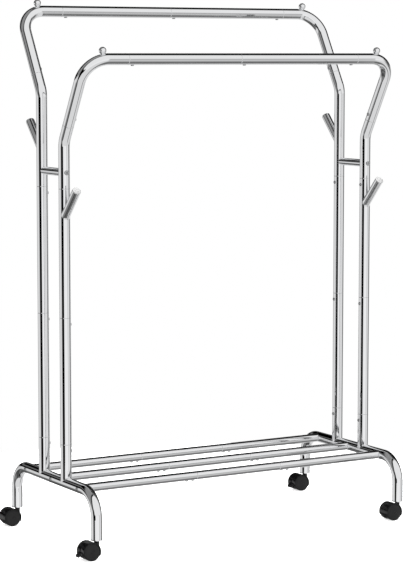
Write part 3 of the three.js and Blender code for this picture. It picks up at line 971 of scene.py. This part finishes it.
class RACK_OT_caster_hoods(bpy.types.Operator):
    """Four moulded hoods, each with its web between the wheels and its swivel neck"""
    bl_idname = "rack.caster_hoods"
    bl_label = "Caster hoods"

    def execute(self, context):
        for row, end in SPOTS:
            spot = f"{row}_{end}"
            self.shell(spot)
            self.web(spot)
        return {"FINISHED"}

    def shell(self, spot):
        """The arched cover: a strip turned about the axle, with rounded corners."""
        sizes = bpy.context.scene.rack_casters
        centre = axle_centre(spot)
        radius = hood_radius(spot)
        half = (highest(f"caster_hood_{spot}").y - lowest(f"caster_hood_{spot}").y) / 2
        shoulder = arc(1.6 * MM, 90, 10, 4, (half - 1.6 * MM, radius - 1.6 * MM))
        across = [(-y, r) for y, r in reversed(shoulder)] + [(-sizes.slot, radius), (sizes.slot, radius)]
        across += shoulder
        bm = bmesh.new()
        start = sizes.hood_from
        way = Vector((math.cos(start), 0, math.sin(start)))
        verts = [bm.verts.new(centre + way * r + Y * y) for y, r in across]
        edges = [bm.edges.new(pair) for pair in zip(verts, verts[1:])]
        sweep = sizes.hood_to - start
        bmesh.ops.spin(
            bm, geom=verts + edges, cent=centre, axis=-Y, dvec=(0, 0, 0), angle=sweep,
            steps=60, use_merge=False, use_duplicate=False)
        if spot in BRAKED:
            slot_from = math.pi - math.asin(sizes.slot_top / radius)
            gone = [face for face in bm.faces if self.in_slot(face, centre, slot_from)]
            bmesh.ops.delete(bm, geom=gone, context="FACES")
        for vert in bm.verts:
            self.round_corner(vert, centre, half, start, sweep, radius)
        piece = finish_mesh(bm, f"hood_shell_{spot}", hood_finish())
        add_wall(piece, sizes.hood_wall)
        soften(piece, 0.35 * MM)
        attach(piece, f"caster_{spot}", "black_plastic", f"caster_hood_{spot}")

    @staticmethod
    def turn_of(place, centre):
        turn = math.atan2(place.z - centre.z, place.x - centre.x)
        return turn if turn > -math.pi / 2 else turn + math.tau

    def in_slot(self, face, centre, slot_from):
        place = face.calc_center_median()
        inside = abs(place.y - centre.y) < bpy.context.scene.rack_casters.slot
        return inside and self.turn_of(place, centre) > slot_from

    def round_corner(self, vert, centre, half, start, sweep, radius):
        corner = bpy.context.scene.rack_casters.hood_corner
        turned = self.turn_of(vert.co, centre) - start
        left = min(turned, sweep - turned) * radius
        if left < corner:
            inset = corner - math.sqrt(max(0.0, corner ** 2 - (corner - left) ** 2))
            across = vert.co.y - centre.y
            vert.co.y = centre.y + math.copysign(min(abs(across), half - inset), across)

    def web(self, spot):
        """The plate between the wheels and the neck that turns on the stem."""
        sizes = bpy.context.scene.rack_casters
        centre = axle_centre(spot)
        radius = hood_radius(spot) - sizes.hood_wall / 2
        dip = math.degrees(math.asin(sizes.web_floor / radius))
        bm = bmesh.new()
        whole = arc(radius, dip, 180 - dip, 48)
        if spot in BRAKED:
            top = 180 - math.degrees(math.asin(sizes.slot_top / radius))
            back = sizes.slot_depth - hood_radius(spot)
            notched = arc(radius, dip, top, 40) + [(back, sizes.slot_top), (back, sizes.web_floor)]
            plate(bm, notched, -sizes.slot, sizes.slot, centre)
            plate(bm, whole, -sizes.web, -sizes.slot, centre)
            plate(bm, whole, sizes.slot, sizes.web, centre)
            pin = JOINTS[f"brake_lever_{spot}_lift"]
            reach = sizes.web - 0.3 * MM
            lathe(bm, [(0, -reach), (sizes.pin, -reach), (sizes.pin, reach), (0, reach)], pin, Y, 24)
        else:
            plate(bm, whole, -sizes.web, sizes.web, centre)
        self.neck(bm, spot, radius)
        piece = finish_mesh(bm, f"hood_web_{spot}", hood_finish())
        soften(piece, 0.5 * MM, 3)
        attach(piece, f"caster_{spot}", "black_plastic")

    def neck(self, bm, spot, radius):
        sizes = bpy.context.scene.rack_casters
        centre = axle_centre(spot)
        top = JOINTS[f"caster_{spot}_swivel"].copy()
        top.z = highest(f"caster_hood_{spot}").z
        skin = TubeSkin(bm, top - Z * sizes.stem_depth, Z, sizes.stem + SEAM, 48)
        skin.close()
        skin.push(sizes.stem_depth)
        skin.resize(sizes.neck)
        skin.way = -Z
        skin.push(BAND)
        skin.grow()
        floor = top.z - sizes.stem_depth - 2 * MM
        for vert in skin.verts:
            slide = reach_to_tube(vert.co, -Z, centre, Y, radius)
            vert.co.z -= min(slide, vert.co.z - floor)
        skin.close()


class RACK_OT_wheels(bpy.types.Operator):
    """Eight domed wheels, two under each hood"""
    bl_idname = "rack.wheels"
    bl_label = "Wheels"

    def execute(self, context):
        for row, end in SPOTS:
            for side, sign in SIDES.items():
                name = f"{row}_{end}_{side}"
                self.wheel(name, f"{row}_{end}", sign)
        return {"FINISHED"}

    def wheel(self, name, spot, sign):
        centre = axle_centre(spot)
        low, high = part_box(f"caster_wheel_{name}")
        radius = centre.z - low.z
        inner, outer = sorted((abs(low.y - centre.y), abs(high.y - centre.y)))
        sizes = bpy.context.scene.rack_casters
        bore = sizes.axle + SEAM
        tread = outer - sizes.dome
        face = radius - 4.2 * MM
        hub = 5.2 * MM
        inner_round = 1.5 * MM
        outer_round = 2.4 * MM
        lip = 0.8 * MM
        groove = 0.8 * MM
        dome = [(r, tread + 0.9 * MM + (sizes.dome - 1.1 * MM) * (1 - (r / face) ** 2))
                for r in (face + (hub - face) * i / 14 for i in range(15))]
        cap = outer - 0.25 * MM
        profile = [
            (0, sizes.axle_half + SEAM), (bore, sizes.axle_half + SEAM), (bore, inner),
            *arc(inner_round, -90, 0, 5, (radius - inner_round, inner + inner_round)),
            *arc(outer_round, 0, 84, 7, (radius - outer_round, tread + lip - outer_round)),
            (face + 1.1 * MM, tread + lip), (face + 0.8 * MM, tread), (face + 0.3 * MM, tread),
            *dome,
            (hub - 0.3 * MM, cap - groove), (hub - 0.7 * MM, cap - groove), (hub - 0.9 * MM, cap),
            (hub / 2, outer - 0.06 * MM), (0, outer),
        ]
        bm = bmesh.new()
        lathe(bm, profile, centre, Y * sign, 80)
        piece = finish_mesh(bm, f"wheel_{name}", wheel_finish())
        attach(piece, f"wheel_{name}", "wheel_plastic", f"caster_wheel_{name}")


class RACK_OT_axles(bpy.types.Operator):
    """Axles of the wheels, and the plugged stems that the casters swivel on"""
    bl_idname = "rack.axles"
    bl_label = "Axles and stems"

    def execute(self, context):
        sizes = context.scene.rack_casters
        for row, end in SPOTS:
            spot = f"{row}_{end}"
            reach = sizes.axle_half
            tip = reach - 0.6 * MM
            rod = [(0, -reach), (sizes.axle - 0.6 * MM, -reach), (sizes.axle, -tip),
                   (sizes.axle, tip), (sizes.axle - 0.6 * MM, reach), (0, reach)]
            bm = bmesh.new()
            lathe(bm, rod, axle_centre(spot), Y, 32)
            piece = finish_mesh(bm, f"axle_{spot}", steel_finish())
            soften(piece, 0.15 * MM)
            attach(piece, f"caster_{spot}", "steel", f"caster_axle_{spot}")
            self.stem(spot, sizes)
        return {"FINISHED"}

    def stem(self, spot, sizes):
        low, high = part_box(f"caster_stem_{spot}")
        plug = (high.x - low.x) / 2
        foot = JOINTS[f"caster_{spot}_swivel"].copy()
        foot.z = LEG_BOTTOM
        drop = low.z - LEG_BOTTOM
        rise = high.z - LEG_BOTTOM
        profile = [
            (0, drop), (sizes.stem - 0.7 * MM, drop), (sizes.stem, drop + 0.7 * MM), (sizes.stem, 0),
            (plug, 0), (plug, rise - 3 * MM), (plug - 3 * MM, rise), (0, rise),
        ]
        bm = bmesh.new()
        lathe(bm, profile, foot, Z, 48)
        piece = finish_mesh(bm, f"stem_{spot}", steel_finish())
        soften(piece, 0.2 * MM)
        attach(piece, FIXED, "steel", f"caster_stem_{spot}")


LEVER_PAD = millimetres([(-11.6, -0.6), (-20.2, -9.6), (-20.4, -14.9), (-17.2, -15.5), (-11.9, -8.0)])
LEVER_EYE = 3.3 * MM
RIBS = 4
RIB_START = 3 * MM
RIB_STEP = 2.2 * MM
RIB_WIDTH = 0.9 * MM
RIB_RISE = 0.45 * MM
RIB_SINK = 0.4 * MM
RIB_SHARE = 0.8     # of the pad's width


class RACK_OT_brake_levers(bpy.types.Operator):
    """Two foot levers: a ribbed pad on an arm that turns on the web's pin"""
    bl_idname = "rack.brake_levers"
    bl_label = "Brake levers"

    def execute(self, context):
        sizes = context.scene.rack_casters
        for spot in BRAKED:
            pivot = JOINTS[f"brake_lever_{spot}_lift"]
            eye = arc(LEVER_EYE, 120, -120, 24)
            arm = [(-12.4 * MM, -7 * MM), (-12.4 * MM, -1.6 * MM), *eye]
            bm = bmesh.new()
            plate(bm, LEVER_PAD, -sizes.pad, sizes.pad, pivot)
            self.drilled(bm, arm, sizes.pin + SEAM, sizes.arm, pivot)
            for outline in self.ribs():
                plate(bm, outline, -sizes.pad * RIB_SHARE, sizes.pad * RIB_SHARE, pivot)
            piece = finish_mesh(bm, f"lever_{spot}", hood_finish())
            soften(piece, 0.3 * MM, 3)
            attach(piece, f"brake_lever_{spot}", "black_plastic", f"brake_lever_{spot}")
        return {"FINISHED"}

    def ribs(self):
        """Outlines of the grip ribs across the pad's sloping face."""
        top, tip = (Vector(corner) for corner in LEVER_PAD[:2])
        along = (tip - top).normalized()
        out = Vector((along.y, -along.x))
        corners = ((0, -RIB_SINK), (0, RIB_RISE), (RIB_WIDTH, RIB_RISE), (RIB_WIDTH, -RIB_SINK))
        for i in range(RIBS):
            foot = top + along * (RIB_START + RIB_STEP * i)
            yield [tuple(foot + along * far + out * high) for far, high in corners]

    def drilled(self, bm, outline, hole, half, pivot):
        """A plate with a round hole at the pivot, made as one outline with a slit."""
        ring = arc(hole, -120, -480, 24)
        plate(bm, outline + ring, -half, half, pivot)


# ---------------------------------------------------------------- studio
# Brightness of the walls, by degrees to the right of the camera.
WALL_LEVELS = (
    (-180, 0.62), (-130, 0.72), (-100, 0.82), (-70, 0.68), (-5, 0.95), (70, 0.97), (88, 0.85),
    (102, 0.35), (110, 0.14), (120, 0.2), (136, 0.5), (160, 0.75), (180, 0.62),
)
# Brightness of the pit low down at the right, by degrees round the X axis from +Y over the top.
PIT_LEVELS = (
    (0, 0.72), (196, 0.55), (204, 0.6), (217, 0.62), (230, 0.34), (246, 0.17), (272, 0.15),
    (284, 0.4), (300, 0.72), (360, 0.72),
)
PIT_EDGES = (0.425, 0.585, 0.025)
# Brightness of the ground behind the rack, by the X part of the direction, and of that before it.
GROUND_LEVELS = (
    (-1, 0.4), (-0.9, 0.22), (-0.82, 0.16), (-0.76, 0.26), (-0.66, 0.16), (-0.58, 0.07), (-0.4, 0.07),
    (-0.28, 0.18), (-0.16, 0.09), (0.0, 0.1), (0.16, 0.2), (0.34, 0.8), (0.8, 0.8), (1, 0.4),
)
PALE_GROUND = 0.78
# Brightness of the ceiling before the rack, and over it at the left and at the right.
PALE_ROOF = 0.9
LEFT_ROOF = 0.28
RIGHT_ROOF = 0.015
# Screens: first and last degree to the right of the camera, softness, lowest and highest degree,
# and brightness.
SCREENS = (
    (55, 67, 2, -17.5, 4, 0.5),
    (104, 122, 6, -16.5, 18, 0.14),
    (-150, -128, 8, -16.5, 4, 0.4),
)
# The doorway's left and right edges in degrees to the right of the camera, and where it narrows:
# first and last degree of height, and by how many degrees.
DOOR_LEFT = (-67, -59)
DOOR_RIGHT = (-19, -11)
DOOR_BELOW = ((-12.2, -10.6, 15), (-32, -12, 19))
DOOR_ABOVE = ((0, 4, 15), (4, 24, 19))

OVERHEAD_PLACE = Vector((0, 0, 3.2))
OVERHEAD_WIDTH = 4.5
FRONT_PLACE = Vector((-2.6, -3.4, 2.2))
FRONT_AIM = Vector((0, 0, 0.4))
FRONT_WIDTH = 2.2


def between(value, low, high, soft):
    """1 from low to high, with a soft step of that half width at either end."""
    return value.smooth(low - soft, low + soft) * (1 - value.smooth(high - soft, high + soft))


def blend(level, other, share):
    return level + (other - level) * share


class RACK_OT_studio(bpy.types.Operator):
    """Pale floor, soft light and the camera"""
    bl_idname = "rack.studio"
    bl_label = "Studio"

    def execute(self, context):
        studio = context.scene.rack_studio
        context.scene.view_settings.view_transform = "Standard"
        self.floor(studio)
        camera = self.camera(studio)
        self.surroundings(camera)
        self.lamp("overhead_light", OVERHEAD_PLACE, Vector(), OVERHEAD_WIDTH, studio.overhead)
        self.lamp("front_light", FRONT_PLACE, FRONT_AIM, FRONT_WIDTH, studio.front)
        return {"FINISHED"}

    def floor(self, studio):
        bm = bmesh.new()
        bmesh.ops.create_circle(bm, cap_ends=True, segments=96, radius=studio.floor_radius)
        bmesh.ops.translate(bm, verts=bm.verts, vec=(0, 0, -0.1 * MM))
        floor = finish_mesh(bm, "studio_floor", floor_finish())
        floor.visible_glossy = False

    def camera(self, studio):
        data = bpy.data.cameras.new("studio_camera")
        data.lens = studio.focal_length
        data.sensor_width = 36
        camera = bpy.data.objects.new("studio_camera", data)
        bpy.context.scene.collection.objects.link(camera)
        level = math.cos(studio.elevation)
        away = Vector((
            math.sin(studio.azimuth) * level,
            -math.cos(studio.azimuth) * level,
            math.sin(studio.elevation),
        ))
        target = Vector((studio.aim_across, 0, studio.aim_height))
        camera.location = target + away * studio.distance
        camera.rotation_euler = (-away).to_track_quat("-Z", "Y").to_euler()
        bpy.context.scene.camera = camera
        return camera

    def lamp(self, name, place, aim, size, power):
        data = bpy.data.lights.new(name, "AREA")
        data.size = size
        data.energy = power
        lamp = bpy.data.objects.new(name, data)
        lamp.location = place
        lamp.rotation_euler = (aim - place).to_track_quat("-Z", "Y").to_euler()
        lamp.visible_camera = False
        lamp.visible_glossy = False
        bpy.context.scene.collection.objects.link(lamp)

    def surroundings(self, camera):
        """White walls with a few dark screens, which the bright tubes mirror as stripes."""
        world = bpy.data.worlds.new("studio_surroundings")
        bpy.context.scene.world = world
        tree = Tree(world)
        parts = tree.node("ShaderNodeSeparateXYZ", {}, {
            "Vector": tree.node("ShaderNodeTexCoord", {}, {}, "Generated")})
        x, y, z = (Value(tree, parts.socket.node.outputs[axis]) for axis in "XYZ")
        heading = math.atan2(camera.location.y, camera.location.x)
        ahead = x * math.cos(heading) + y * math.sin(heading)
        right = y * math.cos(heading) - x * math.sin(heading)
        turn = right.maths("ARCTAN2", right, ahead) * DEGREES
        height = z.maths("ARCSINE", z) * DEGREES
        walls = tree.ramp((turn + 180) * (1 / 360), [((a + 180) / 360, v) for a, v in WALL_LEVELS])
        level = blend(self.ground(tree, x, y, z), walls, height.smooth(-21, -16))
        level = blend(level, self.ceiling(x, y, z), height.smooth(1, 5))
        for start, stop, soft, low, high, grey in SCREENS:
            screen = between(turn, start, stop, soft) * height.smooth(low - 1.5, low + 1.5)
            level = blend(level, grey, screen * (1 - height.smooth(high - 2, high + 2)))
        level = level * (1 - self.doorway(turn, height))
        seen = tree.node("ShaderNodeLightPath", {}, {}, "Is Camera Ray")
        shown = blend(level, 1.0, seen)
        colour = tree.node("ShaderNodeCombineColor", {}, {0: shown, 1: shown, 2: shown})
        background = tree.node("ShaderNodeBackground", {}, {"Color": colour, "Strength": 1.0})
        tree.node("ShaderNodeOutputWorld", {}, {"Surface": background})

    def ground(self, tree, x, y, z):
        """Striped dark ground behind the rack, pale ground before it and a pit at the right."""
        behind = tree.ramp((x + 1) * 0.5, [((a + 1) / 2, v) for a, v in GROUND_LEVELS])
        ground = blend(behind, PALE_GROUND, 1 - y.smooth(-0.2, -0.12))
        over = z.maths("ARCTAN2", z, y) * DEGREES
        pit = tree.ramp(
            over.maths("FLOORED_MODULO", over, 360) * (1 / 360), [(a / 360, v) for a, v in PIT_LEVELS])
        return blend(ground, pit, between(x, *PIT_EDGES))

    def ceiling(self, x, y, z):
        """Pale before the rack and dark over it, with a black seam at the left and a strip behind."""
        at_right = x.smooth(0.0, 0.3)
        over = blend(LEFT_ROOF, RIGHT_ROOF, at_right)
        ceiling = blend(over, PALE_ROOF, 1 - y.smooth(-0.24, -0.04))
        ceiling = ceiling * (1 - between(y, -0.23, -0.09, 0.03) * (1 - at_right))
        return blend(ceiling, between(z, 0.29, 0.42, 0.02) * 0.14, y.smooth(0.5, 0.7))

    def doorway(self, turn, height):
        """An unlit doorway left of the camera, narrower above and below the height of the uprights."""
        shut = sum((1 - height.smooth(low, high)) * width for low, high, width in DOOR_BELOW)
        shut = shut + sum(height.smooth(low, high) * width for low, high, width in DOOR_ABOVE)
        opened = turn.smooth(*DOOR_LEFT) * (1 - (turn + shut).smooth(*DOOR_RIGHT))
        return opened * height.smooth(-62, -20) * (1 - height.smooth(22, 60))


# ---------------------------------------------------------------- panel and start
SETTINGS = {
    "rack_tubes": RackTubeSettings,
    "rack_fasteners": RackFastenerSettings,
    "rack_casters": RackCasterSettings,
    "rack_finishes": RackFinishSettings,
    "rack_studio": RackStudioSettings,
}
STEPS = (
    RACK_OT_studio,
    RACK_OT_foot_frames,
    RACK_OT_uprights,
    RACK_OT_corner_tubes,
    RACK_OT_rails,
    RACK_OT_shelf_bars,
    RACK_OT_crossbars,
    RACK_OT_ball_finials,
    RACK_OT_hook_caps,
    RACK_OT_fasteners,
    RACK_OT_caster_hoods,
    RACK_OT_wheels,
    RACK_OT_axles,
    RACK_OT_brake_levers,
)


class RACK_PT_sidebar(bpy.types.Panel):
    """Sizes, colours and building steps of the clothes rack"""
    bl_label = "Clothes rack"
    bl_idname = "RACK_PT_sidebar"
    bl_space_type = "VIEW_3D"
    bl_region_type = "UI"
    bl_category = "Rack"

    def draw(self, context):
        for name, group in SETTINGS.items():
            box = self.layout.box()
            for setting in group.__annotations__:
                box.prop(getattr(context.scene, name), setting)
        for step in STEPS:
            self.layout.operator(step.bl_idname)


CLASSES = (*SETTINGS.values(), *STEPS, RACK_PT_sidebar)


def register():
    for made in CLASSES:
        bpy.utils.register_class(made)
    for name, group in SETTINGS.items():
        setattr(bpy.types.Scene, name, bpy.props.PointerProperty(type=group))


def unregister():
    for name in SETTINGS:
        delattr(bpy.types.Scene, name)
    for made in reversed(CLASSES):
        bpy.utils.unregister_class(made)


def main():
    register()
    bpy.ops.rack.studio()
    bpy.ops.rack.foot_frames()
    bpy.ops.rack.uprights()
    bpy.ops.rack.corner_tubes()
    bpy.ops.rack.rails()
    bpy.ops.rack.shelf_bars()
    bpy.ops.rack.crossbars()
    bpy.ops.rack.ball_finials()
    bpy.ops.rack.hook_caps()
    bpy.ops.rack.fasteners()
    bpy.ops.rack.caster_hoods()
    bpy.ops.rack.wheels()
    bpy.ops.rack.axles()
    bpy.ops.rack.brake_levers()


if __name__ == "__main__":
    main()
